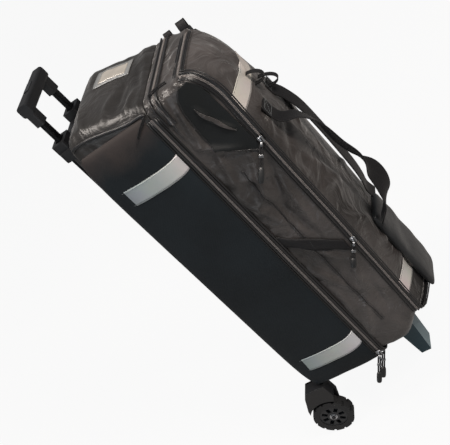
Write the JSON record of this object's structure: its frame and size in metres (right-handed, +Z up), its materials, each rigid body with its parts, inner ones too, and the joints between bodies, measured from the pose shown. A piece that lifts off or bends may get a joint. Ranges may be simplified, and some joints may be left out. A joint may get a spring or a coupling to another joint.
{
  "type": "three-ball roller bag",
  "caption": "Upright wheeled bag for bowling balls: padded ball case, zipped shoe section with carry loops, telescopic trolley handle, wheels and a front foot.",
  "frame": {"origin": "middle of the foot's sole, on the floor", "axes": "+Z up along the bag's length, -Y towards the front with the carry loops, +Y towards the trolley handle, +X to the bag's right seen from the front"},
  "size_m": [0.314, 0.4687, 1.0235],
  "materials": {
    "fabric": "coated woven nylon with a soft sheen",
    "side_panel": "matte coated polyester",
    "board": "twin-wall stiffener board",
    "plastic": "moulded with a fine texture",
    "tube": "black anodised",
    "steel": "plated",
    "tyre": "moulded tread",
    "foot_plastic": "moulded",
    "reflective": "glass-bead reflective tape",
    "webbing": "woven polypropylene",
    "zip": "zip tape with a nylon coil",
    "foam": "foam under a knit lining",
    "window": "clear sleeve over a blank card"
  },
  "bodies": {
    "case": {"axle_bolt_left": "steel", "axle_bolt_right": "steel", "back_board": "board", "ball_divider_lower": "foam", "ball_divider_upper": "foam", "ball_zip_case_tape": "zip", "base_tray": "plastic", "card_frame": "window", "card_window": "window", "case_floor": "fabric", "end_pocket": "fabric", "foam_ball_bed": "foam", "front_foot": "foot_plastic", "handle_housing": "plastic", "outer_tube_left": "tube", "outer_tube_right": "tube", "side_pocket_left": "side_panel", "side_pocket_right": "side_panel", "side_strip_left_lower": "reflective", "side_strip_left_upper": "reflective", "side_strip_right_lower": "reflective", "side_strip_right_upper": "reflective", "side_wall_left": "fabric", "side_wall_right": "fabric", "top_wall": "fabric", "trolley_cover": "fabric", "wheel_housing_left": "plastic", "wheel_housing_right": "plastic"},
    "middle_stage": {"middle_tube_left": "tube", "middle_tube_right": "tube"},
    "inner_stage": {"inner_tube_left": "tube", "inner_tube_right": "tube", "grip": "plastic"},
    "release_button": {"release_button": "plastic"},
    "wheel_left": {"tyre_left": "tyre", "hub_left": "plastic", "bearing_left": "steel"},
    "wheel_right": {"tyre_right": "tyre", "hub_right": "plastic", "bearing_right": "steel"},
    "shoe_section": {"gusset_left": "fabric", "gusset_right": "fabric", "gusset_top": "fabric", "gusset_bottom": "fabric", "shoe_floor": "board", "ball_zip_lid_tape": "zip"},
    "shoe_flap": {"shoe_flap": "fabric", "flap_strip_upper": "reflective", "flap_strip_lower": "reflective", "handle_wrap": "webbing"},
    "carry_strap_left": {"carry_strap_left": "webbing"},
    "carry_strap_right": {"carry_strap_right": "webbing"},
    "ball_zip_left_slider": {"ball_zip_left_slider": "steel"},
    "ball_zip_left_pull": {"ball_zip_left_pull": "webbing"},
    "ball_zip_right_slider": {"ball_zip_right_slider": "steel"},
    "ball_zip_right_pull": {"ball_zip_right_pull": "webbing"},
    "shoe_zip_upper_slider": {"shoe_zip_upper_slider": "steel"},
    "shoe_zip_upper_pull": {"shoe_zip_upper_pull": "webbing"},
    "shoe_zip_lower_slider": {"shoe_zip_lower_slider": "steel"},
    "shoe_zip_lower_pull": {"shoe_zip_lower_pull": "webbing"}
  },
  "joints": [
    {"name": "wheel_left_spin", "type": "hinge", "parent": "case", "child": "wheel_left", "pos_m": [-0.128, 0.224, 0.046], "axis": [1, 0, 0], "continuous": true},
    {"name": "wheel_right_spin", "type": "hinge", "parent": "case", "child": "wheel_right", "pos_m": [0.128, 0.224, 0.046], "axis": [1, 0, 0], "continuous": true},
    {"name": "middle_stage_slide", "type": "slide", "parent": "case", "child": "middle_stage", "axis": [0, 0, 1], "range_m": [0, 0.14]},
    {"name": "inner_stage_slide", "type": "slide", "parent": "middle_stage", "child": "inner_stage", "axis": [0, 0, 1], "range_m": [-0.042, 0.08]},
    {"name": "release_button_press", "type": "slide", "parent": "inner_stage", "child": "release_button", "axis": [0, 0, -1], "range_m": [0, 0.003], "stiffness_N_per_m": 400},
    {"name": "shoe_section_swing", "type": "hinge", "parent": "case", "child": "shoe_section", "pos_m": [0, 0.031, 0.904], "axis": [-1, 0, 0], "range_deg": [0, 110]},
    {"name": "shoe_flap_swing", "type": "hinge", "parent": "shoe_section", "child": "shoe_flap", "pos_m": [0.1114, -0.0892, 0.538], "axis": [0, 0, 1], "range_deg": [0, 120]},
    {"name": "carry_left_swing", "type": "hinge", "parent": "shoe_flap", "child": "carry_strap_left", "pos_m": [-0.045, -0.1155, 0.568], "axis": [0, 0, 1], "range_deg": [-20, 1]},
    {"name": "carry_right_swing", "type": "hinge", "parent": "shoe_flap", "child": "carry_strap_right", "pos_m": [0.045, -0.1155, 0.568], "axis": [0, 0, 1], "range_deg": [-1, 20]},
    {"name": "ball_zip_left_slide", "type": "slide", "parent": "case", "child": "ball_zip_left_slider", "axis": [0, 0, 1], "range_m": [0, 0.68]},
    {"name": "ball_zip_right_slide", "type": "slide", "parent": "case", "child": "ball_zip_right_slider", "axis": [1, 0, 0], "range_m": [0, 0.06]},
    {"name": "shoe_zip_upper_slide", "type": "slide", "parent": "shoe_section", "child": "shoe_zip_upper_slider", "axis": [0, 0, -1], "range_m": [-0.11, 0.26]},
    {"name": "shoe_zip_lower_slide", "type": "slide", "parent": "shoe_section", "child": "shoe_zip_lower_slider", "axis": [0, 0, -1], "range_m": [0, 0.19]},
    {"name": "ball_zip_left_pull_swing", "type": "hinge", "parent": "ball_zip_left_slider", "child": "ball_zip_left_pull", "pos_m": [-0.1326, 0.031, 0.154], "axis": [0, 1, 0], "range_deg": [0, 60]},
    {"name": "ball_zip_right_pull_swing", "type": "hinge", "parent": "ball_zip_right_slider", "child": "ball_zip_right_pull", "pos_m": [-0.104, 0.031, 0.136], "axis": [0, 1, 0], "range_deg": [0, 20]},
    {"name": "shoe_zip_upper_pull_swing", "type": "hinge", "parent": "shoe_zip_upper_slider", "child": "shoe_zip_upper_pull", "pos_m": [-0.1144, -0.095, 0.724], "axis": [0, 1, 0], "range_deg": [0, 60]},
    {"name": "shoe_zip_lower_pull_swing", "type": "hinge", "parent": "shoe_zip_lower_slider", "child": "shoe_zip_lower_pull", "pos_m": [-0.1144, -0.095, 0.432], "axis": [0, 1, 0], "range_deg": [0, 60]}
  ]
}
